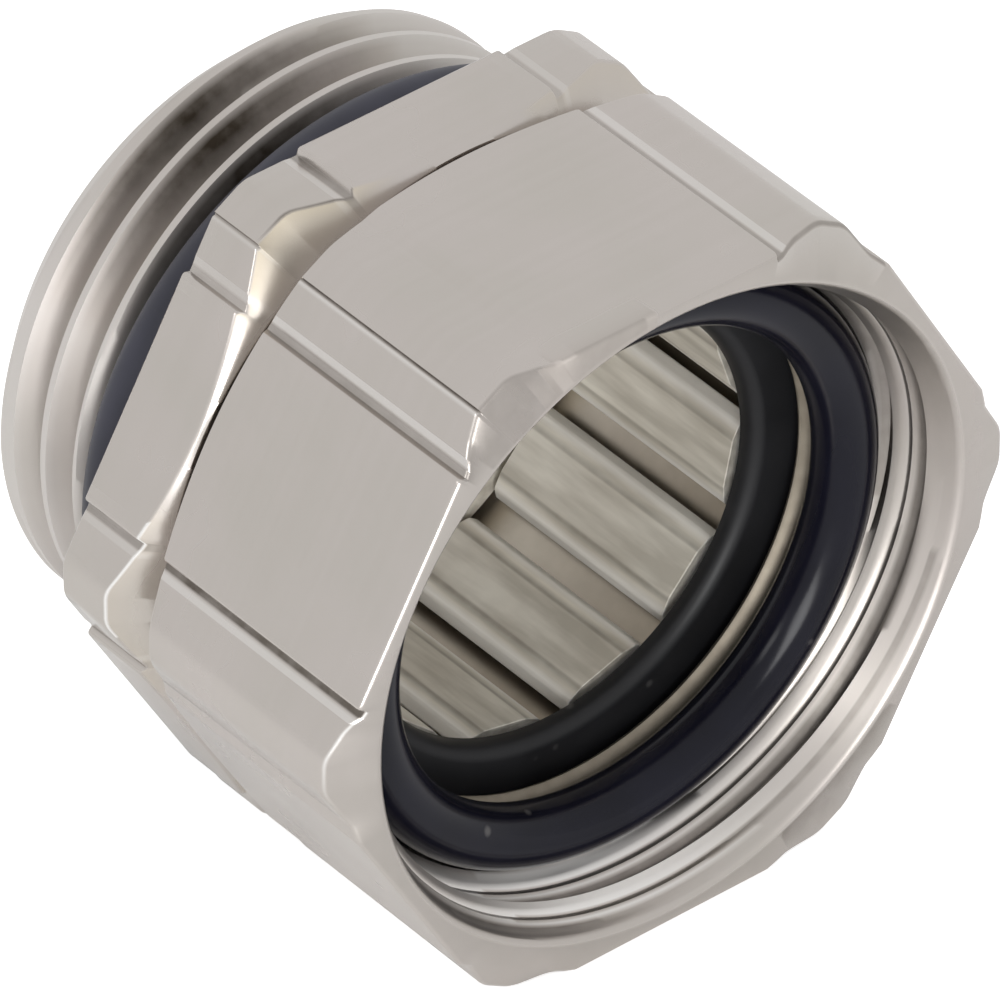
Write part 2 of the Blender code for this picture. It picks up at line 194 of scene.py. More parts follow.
def rounded_path(points):
    """Rounds the corners of an open path of (x, y, radius) points."""
    path = [Vector(points[0][:2])]
    for before, corner, after in zip(points, points[1:], points[2:]):
        radius = corner[2]
        before, corner, after = Vector(before[:2]), Vector(corner[:2]), Vector(after[:2])
        back, ahead = (before - corner).normalized(), (after - corner).normalized()
        half_angle = back.angle(ahead) / 2
        reach = radius / math.tan(half_angle)
        middle = corner + (back + ahead).normalized() * radius / math.sin(half_angle)
        first, last = corner + back * reach, corner + ahead * reach
        for step in range(4):
            spoke = (first - middle).normalized().slerp((last - middle).normalized(), step / 3)
            path.append(middle + spoke * radius)
    path.append(Vector(points[-1][:2]))
    return path


def pad_end(depth):
    """Half of a hexagon side from the pad to the facet, as (along, out, radius)."""
    if not depth:
        return [(pad_half, pad_apothem, 0.3), (step_half, facet_apothem, 0.3)]
    floor = facet_apothem - depth
    return [
        (pad_half, pad_apothem, 0.1),
        (groove_start, floor, 0.02),
        (groove_end, floor, 0.02),
        (step_half, facet_apothem, 0.1),
    ]


def hexagon_outline(left_depth, right_depth, plain=()):
    """Places round the hexagon; plain lists the (side, end) of pads that have no groove."""
    outline = []
    corner = [(facet_half, facet_apothem, corner_round), (corner_reach, facet_apothem - corner_fall, 0.0)]
    for number in range(6):
        right = pad_end(0.0 if (number, 1) in plain else right_depth) + corner
        left = pad_end(0.0 if (number, -1) in plain else left_depth) + corner
        left = [(-along, out, radius) for along, out, radius in reversed(left)]
        if number == nick_side:
            left[:2] = [
                (-facet_half, facet_apothem, 0.0),
                (-nick_middle, facet_apothem - nick_depth, 0.02),
                (-nick_end, facet_apothem, 0.04),
            ]
        path = rounded_path(left + right)
        normal = Vector((math.cos(number * math.pi / 3), math.sin(number * math.pi / 3)))
        along = Vector((-normal.y, normal.x))
        for start, end in zip(path, path[1:]):
            beside_nick = -nick_end - 0.04 < start.x < -nick_end + 0.26
            spacing = 0.1 if fine_from < abs(start.x) < fine_to or beside_nick else 0.5
            pieces = max(1, math.ceil((end - start).length / spacing))
            for step in range(pieces):
                place = start.lerp(end, step / pieces)
                if abs(place.x) < side_half:
                    outline.append(normal * place.y + along * place.x)
    return outline


def lofted(rows):
    """A skin over closed rings with equally many places, extruded from ring to ring."""
    shape = bmesh.new()
    column = shape.verts.layers.int.new("column")
    verts = bmesh.ops.create_circle(shape, segments=len(rows[0]), radius=1.0)["verts"]
    verts.sort(key=lambda vert: math.atan2(vert.co.y, vert.co.x) % math.tau)
    for number, vert in enumerate(verts):
        vert[column] = number
        vert.co = rows[0][number]
    edges = shape.edges[:]
    for row in rows[1:]:
        made = bmesh.ops.extrude_edge_only(shape, edges=edges)["geom"]
        verts = {item for item in made if isinstance(item, bmesh.types.BMVert)}
        edges = [item for item in made if isinstance(item, bmesh.types.BMEdge) and set(item.verts) <= verts]
        for vert in verts:
            vert.co = row[vert[column]]
    return shape


def circle_row(outline, radius, height):
    """A ring of one radius, with a place for each of the outline's."""
    return [(*(place.normalized() * radius), height) for place in outline]


def outline_row(outline, inset, heights, rise=0.0):
    """The outline drawn in a little, at its own height for each place."""
    places = [place * (1 - inset / place.length) for place in outline]
    return [(*place, height + rise) for place, height in zip(places, heights)]


def chamfer_heights(outline, face_radius, angle, height):
    """The height at each place of a face that is turned to a cone outside one radius."""
    slope = math.tan(math.radians(angle))
    return [height + max(0.0, place.length - face_radius) * slope for place in outline]


body_outline = hexagon_outline(body_groove, body_groove)
body_rim = chamfer_heights(body_outline, chamfer_start, -chamfer_angle, flange_front)
seat_face = [0.0] * len(body_outline)
flange = lofted(
    [
        circle_row(body_outline, recess_radius, spigot_start),
        circle_row(body_outline, recess_radius + 0.1, flange_front),
        circle_row(body_outline, chamfer_start - 0.05, flange_front),
        circle_row(body_outline, chamfer_start + 0.05, flange_front - 0.03),
        outline_row(body_outline, 0.1, body_rim, 0.05),
        outline_row(body_outline, 0.03, body_rim, -0.01),
        outline_row(body_outline, 0.0, body_rim, -0.08),
        outline_row(body_outline, 0.0, seat_face, 0.08),
        outline_row(body_outline, 0.03, seat_face, 0.03),
        outline_row(body_outline, 0.08, seat_face),
        circle_row(body_outline, seat_radius, 0.0),
    ]
)


def joined(shapes, flat_faces):
    """Joins shapes whose rings meet, and fills the flat face between two rings at each height."""
    whole = bmesh.new()
    for shape in shapes:
        mesh = bpy.data.meshes.new("joined")
        shape.to_mesh(mesh)
        shape.free()
        whole.from_mesh(mesh)
        bpy.data.meshes.remove(mesh)
    bmesh.ops.remove_doubles(whole, verts=whole.verts, dist=0.0005)
    for height in flat_faces:
        rings = [
            edge for edge in whole.edges
            if edge.is_boundary and all(abs(vert.co.z - height) < 0.001 for vert in edge.verts)
        ]
        bmesh.ops.triangle_fill(whole, edges=rings, use_beauty=True, normal=(0, 0, 1))
    return whole


def add_node(tree, kind, inputs=None, **settings):
    """Adds a shader node, sets it up and fills or links its inputs."""
    node = tree.nodes.new(kind)
    for name, value in settings.items():
        setattr(node, name, value)
    for name, value in (inputs or {}).items():
        if isinstance(value, bpy.types.NodeSocket):
            tree.links.new(value, node.inputs[name])
        else:
            node.inputs[name].default_value = value
    return node


def noise(tree, place, scale, detail):
    """Cloudy noise between 0 and 1."""
    inputs = {"Vector": place, "Scale": scale, "Detail": detail}
    return add_node(tree, "ShaderNodeTexNoise", inputs).outputs["Fac"]


def stretched(tree, value, low, high, first, last):
    """Maps values between low and high to run from first to last."""
    inputs = {"Value": value, "From Min": low, "From Max": high, "To Min": first, "To Max": last}
    return add_node(tree, "ShaderNodeMapRange", inputs).outputs["Result"]


def two_tone(tree, value, low, low_colour, high, high_colour):
    """A colour for each value, blended between two."""
    ramp = add_node(tree, "ShaderNodeValToRGB", {"Fac": value})
    first, last = ramp.color_ramp.elements
    first.position, first.color = low, (*low_colour, 1)
    last.position, last.color = high, (*high_colour, 1)
    return ramp.outputs["Color"]


def tinted(tree, share, colour, tint):
    """Covers a colour with a tint by a share; a mix node has its colours at inputs 6 and 7 and output 2."""
    mixed = add_node(tree, "ShaderNodeMix", {"Factor": share}, data_type="RGBA")
    tree.links.new(colour, mixed.inputs[6])
    mixed.inputs[7].default_value = (*tint, 1)
    return mixed.outputs[2]


def new_material(name):
    """An empty material, with its node tree and its shader."""
    material = bpy.data.materials.new(name)
    material.use_nodes = True
    tree = material.node_tree
    return material, tree, tree.nodes["Principled BSDF"]


def plated_metal(name, light, dark, roughness, streaks, streak_depth, metallic=1.0):
    """Satin plate with faint blotches and tool marks; soiling and painted shade, wear and painted
    highlights, and bare brass where marked.
    """
    tool_stain, bare_brass = (0.3, 0.265, 0.21), (0.6, 0.53, 0.41)
    # The dark brown tint serves soiling and painted shade, the near white one wear and painted highlights.
    dirt_and_painted_shade, wear_and_painted_highlight = (0.075, 0.06, 0.045), (0.9, 0.89, 0.87)
    material, tree, shader = new_material(name)
    place = add_node(tree, "ShaderNodeTexCoord").outputs["Object"]
    drawn = add_node(tree, "ShaderNodeMapping", {"Vector": place, "Scale": streaks}).outputs["Vector"]
    blotch = noise(tree, place, scale=210.0, detail=4.0)
    speck = noise(tree, place, scale=1500.0, detail=5.0)
    lines = noise(tree, drawn, scale=3000.0, detail=3.0)
    dirt_and_painted_light = add_node(tree, "ShaderNodeAttribute", attribute_name="dirt_and_painted_light").outputs["Fac"]
    brass = add_node(tree, "ShaderNodeAttribute", attribute_name="brass").outputs["Fac"]
    dull = add_node(tree, "ShaderNodeAttribute", attribute_name="dull").outputs["Fac"]

    streaked = stretched(tree, lines, 0.35, 0.65, streak_depth, 0.0)
    uneven = stretched(tree, speck, 0.3, 0.7, 0.84, 1.16)
    dirt_and_shade_share = add_node(tree, "ShaderNodeMath", {0: dirt_and_painted_light, 1: uneven}, operation="MULTIPLY", use_clamp=True)
    wear_and_highlight_share = add_node(tree, "ShaderNodeMath", {0: dirt_and_painted_light, 1: -1.0}, operation="MULTIPLY", use_clamp=True)
    colour = two_tone(tree, blotch, 0.36, dark, 0.64, light)
    colour = tinted(tree, streaked, colour, tool_stain)
    colour = tinted(tree, brass, colour, bare_brass)
    # Positive marks tint towards dark brown for soiling and painted shade, negative ones towards near white
    # for wear and painted highlights.
    colour = tinted(tree, dirt_and_shade_share.outputs["Value"], colour, dirt_and_painted_shade)
    colour = tinted(tree, wear_and_highlight_share.outputs["Value"], colour, wear_and_painted_highlight)
    tree.links.new(colour, shader.inputs["Base Color"])
    shader.inputs["Metallic"].default_value = metallic

    rough = stretched(tree, blotch, 0.3, 0.7, roughness - 0.04, roughness + 0.05)
    for wear in (brass, dull):
        worn = add_node(tree, "ShaderNodeMath", {0: wear, 1: 0.25, 2: rough}, operation="MULTIPLY_ADD")
        rough = worn.outputs["Value"]
    tree.links.new(rough, shader.inputs["Roughness"])
    marks = add_node(tree, "ShaderNodeBump", {"Height": lines, "Strength": 0.12, "Distance": 0.00003})
    grain = add_node(
        tree,
        "ShaderNodeBump",
        {"Height": speck, "Strength": 0.1, "Distance": 0.00004, "Normal": marks.outputs["Normal"]},
    )
    tree.links.new(grain.outputs["Normal"], shader.inputs["Normal"])
    return material


def mark(shape, name, rule):
    """Stores a value for every vertex, found from its angle, radius and height."""
    layer = shape.verts.layers.float.new(name)
    for vert in shape.verts:
        angle = math.degrees(math.atan2(vert.co.y, vert.co.x)) % 360
        vert[layer] = rule(angle, math.hypot(vert.co.x, vert.co.y), vert.co.z)


def finish_piece(shape, name, material, body, node, sharp=30):
    """Lays a shape down on the gland's axis, attaches it to its body and hides the CAD part of its node."""
    bmesh.ops.remove_doubles(shape, verts=shape.verts, dist=0.0005)
    bmesh.ops.recalc_face_normals(shape, faces=shape.faces)
    bmesh.ops.transform(shape, matrix=lay_down, verts=shape.verts)
    mesh = bpy.data.meshes.new(name)
    shape.to_mesh(mesh)
    shape.free()
    mesh.shade_smooth()
    mesh.set_sharp_from_angle(angle=math.radians(sharp))
    piece = bpy.data.objects.new(name, mesh)
    bpy.context.scene.collection.objects.link(piece)
    mesh.materials.append(material)
    shading = piece.modifiers.new("flat_faces", "WEIGHTED_NORMAL")
    shading.keep_sharp = True
    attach(piece, body)
    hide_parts(node)


def part_way(value, start, end):
    """How far a value has gone from start to end, held between 0 and 1."""
    return max(0.0, min(1.0, (value - start) / (end - start)))


def side_marks(angle, radius, plain=()):
    """Soiling and painted shade in the nick and the grooves at the pads' ends, and a painted highlight
    strip beside them.
    """
    number = round(angle / 60) % 6
    turn = math.radians(angle - 60 * round(angle / 60))
    along, out = radius * math.sin(turn), radius * math.cos(turn)
    past_nick = along + nick_middle
    if out < outer_skin:
        return 0.0
    if number == nick_side and -0.04 < past_nick < 0.13:
        # Painted shade in the nick itself, and a painted highlight line just past it.
        return 0.7 if past_nick < 0.04 else -0.35
    if (number, 1 if along > 0 else -1) in plain:
        return 0.0
    # Painted shade with some soiling in the grooves, stronger away from the worn sides; a painted highlight
    # strip lies beyond each groove.
    if groove_start - 0.05 < abs(along) < groove_end + 0.04 and out < facet_apothem - 0.02:
        return 0.3 if along < 0 or number < 3 else 0.8
    return -0.3 if groove_end + 0.08 < abs(along) < step_half else 0.0


def thread_dirt_and_painted_light(angle, radius, height):
    """A lighter tint over the entry thread outside one stretch, and painted shade on its flanks with some
    soiling, darkest on that stretch and next to the neck.
    """
    # The stretch is where the flange shades the thread; the painted shade falls off away from it.
    dark_angle, dark_reach = 200, 42
    shade = part_way(abs((angle - dark_angle + 180) % 360 - 180), dark_reach, 0) ** 0.8
    depth = part_way(radius, entry_crest, entry_root)
    painted_shade = min(1.0, depth * 5) * (1 - 0.65 * part_way(depth, 0.5, 1.0))
    painted_shade *= part_way(height, entry_end + 0.9, entry_end + rim_length)
    runout = part_way(height, neck_end - 0.7, neck_end - 0.4)
    # Painted light: lighten outside the stretch, darken the flanks by the shade, and darken the run-out by
    # the neck.
    return -0.28 * (1 - runout) * (1 - shade) + painted_shade * (0.12 + 0.85 * shade) + 0.2 * runout


def chamfer_height(radius):
    """The height of the flange's turned front at a radius."""
    return flange_front - max(0.0, radius - chamfer_start) * math.tan(math.radians(chamfer_angle))


def body_dirt_and_painted_light(angle, radius, height):
    """Painted shade in the pocket, soiling and painted light on the entry thread, and a painted shade line
    at one corner of the front edge and a painted highlight line at the next.
    """
    dark_corner, bright_corner = 198 < angle < 211, 255 < angle < 275
    # Painted shade on the pocket wall, which shows only through the cage's slots.
    if abs(radius - pocket_radius) < 0.1 and pocket_floor - 0.05 < height < spigot_end - 0.05:
        return 0.25
    if height < neck_end + 0.1:
        return thread_dirt_and_painted_light(angle, radius, height)
    if radius > chamfer_start + 0.4 and -0.05 < height - chamfer_height(radius) < -0.03:
        # A painted shade line along the chamfer's edge at one corner, and a painted highlight line at the
        # next.
        if dark_corner:
            return 0.6
        if bright_corner:
            return -1.0
    # The groove marks at half strength: soiling with painted shade, and painted highlight strips.
    return side_marks(angle, radius) * 0.5 if 0.0 < height < flange_front else 0.0


def body_dull(angle, radius, height):
    """The entry thread is rougher than the rest."""
    return 1.0 if height < neck_end else 0.0


def body_brass(angle, radius, height):
    """Thin plate in the bore, and brass at the chamfered corners, most at the corner that shows."""
    if radius < pocket_radius + 0.15:
        return 0.5
    if height < flange_front / 2 or height < chamfer_height(radius) - 0.03:
        return 0.0
    worn_through = 0.75 if abs(angle - 210) < 25 else 0.25
    return max(0.0, min(worn_through, (radius - chamfer_start - 0.35) * 1.6))


nickel = plated_metal(
    "nickel_plate",
    light=(0.552, 0.51, 0.482),
    dark=(0.528, 0.494, 0.458),
    roughness=0.25,
    streaks=(1.0, 0.02, 0.02),
    streak_depth=0.03,
)
body = joined([entry_thread, spigot_thread, bore, neck, flange], [0.0, spigot_start])
mark(body, "dirt_and_painted_light", body_dirt_and_painted_light)
mark(body, "brass", body_brass)
mark(body, "dull", body_dull)
finish_piece(body, "gland_body_metal", nickel, "gland_body", "gland_body")


# The O-ring on the neck seals the body on the panel: soft black rubber, dusty and a little blue, slipped
# over the thread and held by its own stretch.
neck_ring_radius, neck_ring_section, neck_ring_height = 9.8, 1.9, -1.03


def rubber(name, colour, roughness, gloss, dust):
    """Black rubber with a little bloom and dust on it."""
    dust_colour = (0.25, 0.24, 0.23)
    bloomed = [value * 1.7 for value in colour]
    material, tree, shader = new_material(name)
    place = add_node(tree, "ShaderNodeTexCoord").outputs["Object"]
    bloom = noise(tree, place, scale=320.0, detail=4.0)
    grain = noise(tree, place, scale=5000.0, detail=2.0)
    specks = add_node(tree, "ShaderNodeTexVoronoi", {"Vector": place, "Scale": 420.0})
    dots = stretched(tree, specks.outputs["Distance"], 0.05, 0.09, dust, 0.0)
    black = two_tone(tree, bloom, 0.35, colour, 0.75, bloomed)
    tree.links.new(tinted(tree, dots, black, dust_colour), shader.inputs["Base Color"])
    rough = stretched(tree, bloom, 0.3, 0.7, roughness - 0.05, roughness + 0.06)
    tree.links.new(rough, shader.inputs["Roughness"])
    relief = add_node(tree, "ShaderNodeBump", {"Height": grain, "Strength": 0.05, "Distance": 0.00001})
    tree.links.new(relief.outputs["Normal"], shader.inputs["Normal"])
    shader.inputs["Specular IOR Level"].default_value = gloss
    return material


def o_ring(radius, section, height):
    """A round cord bent into a ring."""
    shape = bmesh.new()
    bmesh.ops.create_circle(
        shape,
        segments=40,
        radius=section / 2,
        matrix=Matrix.Translation((radius, 0, height)) @ Matrix.Rotation(math.pi / 2, 4, "X"),
    )
    bmesh.ops.spin(
        shape,
        geom=shape.verts[:] + shape.edges[:],
        cent=(0, 0, 0),
        axis=(0, 0, 1),
        angle=math.tau,
        steps=144,
        use_merge=True,
    )
    return shape


neck_rubber = rubber("neck_ring_rubber", (0.03, 0.03, 0.042), roughness=0.5, gloss=0.3, dust=0.2)
neck_ring = o_ring(neck_ring_radius, neck_ring_section, neck_ring_height)
finish_piece(neck_ring, "entry_o_ring_rubber", neck_rubber, "gland_body", "entry_o_ring")


# The clamping cage is a slotted metal sleeve in the bore: a base ring and twelve fingers that bend inwards
# when the nut is tightened. Its faces are streaked along the axis; the slots' edges carry a painted
# highlight, and the brows beside the faces painted shade, most on the lowest fingers.
ring_outside, ring_bottom, ring_top, ring_break = 7.8, -2.2, -1.35, 0.05
finger_count, first_slot, finger_bottom, finger_length = 12, 3, -1.1, 7.8
brow_radius, back_radius = 7.26, 7.62
face_half, brow_half, back_half = 0.8, 1.36, 1.62
# Painted shade on the brows and the lowest fingers, and a painted highlight on the slots' edges.
brow_painted_shade, low_finger_painted_shade, slot_painted_highlight = 0.3, 0.22, -0.5

cage_metal = plated_metal(
    "cage_plate",
    light=(0.8, 0.77, 0.69),
    dark=(0.72, 0.68, 0.6),
    roughness=0.5,
    streaks=(0.08, 0.6, 0.6),
    streak_depth=0.5,
    metallic=0.35,
)
ring = turned(
    [
        (ring_outside, ring_bottom),
        (ring_outside, ring_top - ring_break),
        (ring_outside - ring_break, ring_top),
        (cable_bore + ring_break, ring_top),
        (cable_bore, ring_top - ring_break),
        (cable_bore, ring_bottom),
        (ring_outside, ring_bottom),
    ],
    steps=128,
)
finish_piece(ring, "cage_base", cage_metal, "gland_body", "cage_ring")


def rounded_edges(shape, edges, offset, segments):
    """Rounds some edges of a shape."""
    bmesh.ops.bevel(
        shape,
        geom=edges,
        offset=offset,
        affect="EDGES",
        segments=segments,
        profile=0.5,
        material=-1,
        clamp_overlap=True,
    )


for number in range(1, finger_count + 1):
    shape = bmesh.new()
    section = [(cable_bore, face_half), (brow_radius, brow_half), (back_radius, back_half)]
    section += [(out, -across) for out, across in reversed(section)]
    verts = [shape.verts.new((out, across, finger_bottom)) for out, across in section]
    made = bmesh.ops.extrude_face_region(shape, geom=[shape.faces.new(verts)])["geom"]
    raised = [item for item in made if isinstance(item, bmesh.types.BMVert)]
    bmesh.ops.translate(shape, vec=(0, 0, finger_length), verts=raised)
    middle = finger_bottom + finger_length / 2
    sides = [edge for edge in shape.edges if (edge.verts[0].co.z > middle) != (edge.verts[1].co.z > middle)]
    rounded_edges(shape, sides, offset=0.09, segments=3)
    tips = [edge for edge in shape.edges if all(vert.co.z > middle for vert in edge.verts)]
    rounded_edges(shape, tips, offset=0.08, segments=2)
    turn = math.radians(first_slot + (number - 0.5) * 360 / finger_count)
    # Painted shade, strongest on the lowest fingers.
    painted_shade = low_finger_painted_shade * max(0.0, math.cos(turn)) ** 2
    dirt_and_painted_light = shape.verts.layers.float.new("dirt_and_painted_light")
    for vert in shape.verts:
        across = abs(vert.co.y)
        brow = brow_painted_shade if face_half - 0.02 < across < brow_half - 0.12 else 0.0
        # Painted highlight on the slots' edges, painted shade on the brows.
        vert[dirt_and_painted_light] = slot_painted_highlight if across > brow_half - 0.1 else brow + painted_shade
    bmesh.ops.rotate(shape, cent=(0, 0, 0), matrix=Matrix.Rotation(turn, 3, "Z"), verts=shape.verts)
    name = f"cage_finger_{number:02d}"
    finish_piece(shape, f"finger_{number:02d}_plate", cage_metal, name, name, sharp=50)


# The cable seal is a flat ring of matt black rubber with a round inner lip. It lies loose between the
# finger tips and the nut's shoulder, which presses on it when the nut is tightened.
seal_bottom, seal_top, seal_inside, seal_outside = 6.95, 7.65, 7.15, 9.4
seal_break, lip_break, lip_round, lip_steps = 0.1, 0.05, 0.5, 5

seal_profile = [
    (seal_inside + lip_break, seal_bottom),
    (seal_outside - seal_break, seal_bottom),
    (seal_outside, seal_bottom + seal_break),
    (seal_outside, seal_top - seal_break),
    (seal_outside - seal_break, seal_top),
]
for step in range(lip_steps + 1):
    turn = math.pi / 2 * step / lip_steps
    radius = seal_inside + lip_round * (1 - math.sin(turn))
    height = seal_top - lip_round * (1 - math.cos(turn))
    seal_profile.append((radius, height))
seal_profile += [(seal_inside, seal_bottom + lip_break), seal_profile[0]]

seal_rubber = rubber("seal_rubber", (0.008, 0.008, 0.009), roughness=0.45, gloss=0.3, dust=0.15)
seal = turned(seal_profile, steps=144)
finish_piece(seal, "cable_seal_rubber", seal_rubber, "seal_carrier", "cable_seal")


# The compression nut is turned and plated as the body is. It has the same hexagon, with pads that run to
# its front edge and corners sloped back from the mouth. Inside are a thread for the body, a coned shoulder
# and a second thread in the mouth.
nut_rear, nut_front, nut_thread_end = 3.25, 12.65, 6.7
nut_thread_start = nut_rear + 0.1
nut_bore, nut_crest = 9.85, 9.2
seal_seat, ring_seat, shoulder_reach = 7.9, 8.5, 9.1
mouth_floor, mouth_bore, mouth_pitch = 9.75, 10.05, 1.5
mouth_top, mouth_lead, lead_slope, runout_slope = nut_front - 0.14, 10.78, 0.55, 1.2
mouth_phase = 11.8 - mouth_pitch * 90 / 360
rear_chamfer_start, rear_chamfer_angle = 11.2, 30
mouth_reach, front_radius, slope_start, corner_radius = 10.9, 11.1, 11.05, 12.548
slope_half, slope_fade_start, slope_fade_end = 2.28, 1.4, 2.6
corner_drops = [0.18, 0.18, 0.64, 0.64, 0.64, 0.42]
left_groove, right_groove = 0.07, 0.15
smooth_ends = [(3, 1), (5, -1), (5, 1)]
worn_sides = [0, 1, 2]

nut_outline = hexagon_outline(left_groove, right_groove, smooth_ends)
nut_rim = chamfer_heights(nut_outline, rear_chamfer_start, rear_chamfer_angle, nut_rear)


def from_corner(place):
    """Distance out along the nearest corner's line and across it."""
    turn = math.atan2(place.y, place.x) % (math.pi / 3) - math.pi / 6
    return place.length * math.cos(turn), place.length * math.sin(turn)


def front_drop(place):
    """How far the front slopes back at a place near a corner."""
    out, across = from_corner(place)
    drop = corner_drops[int(math.degrees(math.atan2(place.y, place.x)) % 360 // 60)]
    fall = max(0.0, out - slope_start) * drop / (corner_radius - slope_start)
    ease = part_way(abs(across), slope_fade_end, slope_fade_start)
    return fall * ease * ease * (3 - 2 * ease)


def without_groove(place):
    """Fills the pads' grooves on the worn sides, next to the front edge."""
    number = round(math.degrees(math.atan2(place.y, place.x)) / 60) % 6
    normal = Vector((math.cos(number * math.pi / 3), math.sin(number * math.pi / 3)))
    out, along = place.dot(normal), abs(place.cross(normal))
    if number not in worn_sides or not fine_from < along < fine_to:
        return place
    level = pad_apothem - (pad_apothem - facet_apothem) * part_way(along, fine_from, fine_to)
    return place + normal * max(0.0, level - out)


def front_row(inset, back):
    """The outline at the front edge, drawn in and back a little."""
    row = []
    for place in nut_outline:
        place = without_groove(place)
        place = place * (1 - inset / place.length)
        row.append((*place, nut_front - front_drop(place) - back))
    return row


front_edge = []
for place in nut_outline:
    out, across = from_corner(place)
    radius = front_radius
    if abs(across) < slope_half:
        radius = min(slope_start * place.length / out, front_radius)
    front_edge.append((*(place.normalized() * radius), nut_front))
nut_outside = lofted(
    [
        front_edge,
        front_row(0.14, 0.0),
        front_row(0.07, 0.03),
        front_row(0.02, 0.08),
        front_row(0.0, 0.15),
        outline_row(nut_outline, 0.0, [nut_front] * len(nut_outline), -1.1),
        outline_row(nut_outline, 0.0, nut_rim, 0.08),
        outline_row(nut_outline, 0.03, nut_rim, 0.01),
        outline_row(nut_outline, 0.1, nut_rim, -0.04),
        circle_row(nut_outline, rear_chamfer_start + 0.02, nut_rear + 0.02),
        circle_row(nut_outline, rear_chamfer_start - 0.05, nut_rear),
    ]
)


def nut_limit(radius, height):
    """A lead at either end of the nut's inner thread."""
    return max(radius, nut_bore - max(0.0, min(height - nut_thread_start, nut_thread_end - height)))


def mouth_limit(radius, height):
    """A lead from the front face, and a run-out above the O-ring."""
    lead = mouth_lead - max(0.0, mouth_top - height) * lead_slope
    runout = mouth_bore + max(0.0, height - mouth_floor) * runout_slope
    return max(min(radius, runout), lead)


nut_thread = thread(
    v_profile(nut_bore, nut_crest, spigot_pitch, crest_flat=0.2, root_flat=0.5),
    spigot_pitch,
    spigot_phase + spigot_pitch / 2,
    nut_thread_start,
    nut_thread_end,
    nut_limit,
)
mouth_profile = [
    (10.2, 0.0), (10.3, 0.18), (10.4, 0.36), (10.48, 0.41), (10.5, 0.46), (10.5, 0.54), (10.57, 0.64),
    (10.64, 0.78), (10.7, 0.92), (10.74, 1.05), (10.74, 1.2), (10.32, 1.38), (10.2, mouth_pitch),
]
mouth_thread = thread(mouth_profile, mouth_pitch, mouth_phase, mouth_floor, mouth_top, mouth_limit)
mouth_edge = turned(
    [
        (11.0, nut_front),
        (10.94, nut_front - 0.012),
        (10.88, nut_front - 0.04),
        (10.83, nut_front - 0.08),
        (mouth_lead, mouth_top),
    ]
)
shoulder = turned(
    [
        (mouth_bore, mouth_floor),
        (mouth_bore, ring_seat + 0.1),
        (mouth_bore - 0.1, ring_seat),
        (8.9, ring_seat), (8.83, 8.48), (8.5, 8.19), (8.46, 8.12),
        (8.48, 8.05), (8.58, 7.95), (8.68, seal_seat),
        (nut_bore, seal_seat),
        (nut_bore, nut_thread_end),
    ]
)
rear_edge = turned([(nut_bore, nut_thread_start), (nut_bore + 0.1, nut_rear)])


def on_shoulder(radius, height):
    """True on the coned shoulder between the seal and the mouth's O-ring."""
    return radius < shoulder_reach and seal_seat - 0.05 < height < ring_seat + 0.05


def mouth_dirt_and_painted_light(angle, height):
    """Painted shade lines in the roots of the mouth's thread and at its step, painted shade on one stretch
    of the wall, painted light low on one side, and faint soiling near the front.
    """
    place = (height - mouth_phase - mouth_pitch * angle / 360) % mouth_pitch
    # Painted shade lines at the thread's step on the lower stretch.
    if (angle < 75 or angle > 330) and 0.4 < place < 0.6:
        return 0.35
    root = 0.45 if 0.7 < place < 1.3 else 0.0
    # Painted shade on the stretch of the wall that lies in shadow.
    shade = 0.3 * part_way(abs(angle - 130), 45, 0)
    # Painted light: the low side of the wall is lightened where the front panel's highlight falls.
    painted_low_light = -0.7 * max(0.0, math.cos(math.radians(angle - 345))) ** 6
    return max(root if height < nut_front - 0.5 else 0.06, shade) or painted_low_light


def nut_dirt_and_painted_light(angle, radius, height):
    """Painted shade on the shoulder, painted light in the mouth, darker and lighter lines along the front
    edge that are mostly painted shade and painted highlights, and soiling on the front face.
    """
    if on_shoulder(radius, height):
        # Painted shade on the shoulder, which lies deep between the seal and the O-ring.
        return 0.5
    if radius < mouth_reach and height > mouth_floor + 0.05:
        return mouth_dirt_and_painted_light(angle, height)
    place = radius * Vector((math.cos(math.radians(angle)), math.sin(math.radians(angle))))
    out, across = from_corner(place)
    back = nut_front - front_drop(place) - height
    at_corner = abs(across) < slope_half + 0.02
    top_pad_end, low_stain = 186 < angle < 200, 22 < angle < 48
    near_corner, far_corner, near_side = 180 < angle < 240, 120 < angle < 180, 240 < angle < 276
    # A painted shade line between the top pad's front edge and the mouth.
    if top_pad_end and radius > slope_start and back < 0.1:
        return 0.2
    # Painted shade on the sloped corner nearest the front.
    if near_corner and at_corner and out > slope_start - 0.05 and back < 0.05:
        return 0.3
    # At the far corners the slope behind the front edge is darkened and the very edge is lightened a
    # little.
    if far_corner and at_corner and out > slope_start + 0.15 and back < 0.1:
        return 0.4 if back > 0.02 else -0.12
    # A painted highlight line along one corner's slope, fading along the side.
    if near_side and at_corner and out > slope_start + 0.15 and 0.02 < back < 0.05:
        return -part_way(angle, 276, 262)
    # Faint soiling on the front face, darker on a stretch near the mouth low on one side.
    if back < 0.01:
        return 0.4 if low_stain and radius < front_radius + 0.1 else 0.1
    return side_marks(angle, radius, smooth_ends) if nut_rear < height < nut_front else 0.0


def nut_brass(angle, radius, height):
    """The shoulder's plate is worn through."""
    return 0.7 if on_shoulder(radius, height) else 0.0


def nut_dull(angle, radius, height):
    """The inside is rougher than the outside, and so is the front edge at the top pad's end."""
    if radius < mouth_reach:
        return 0.5
    return 1.6 if 184 < angle < 206 and height > nut_front - 0.4 else 0.0


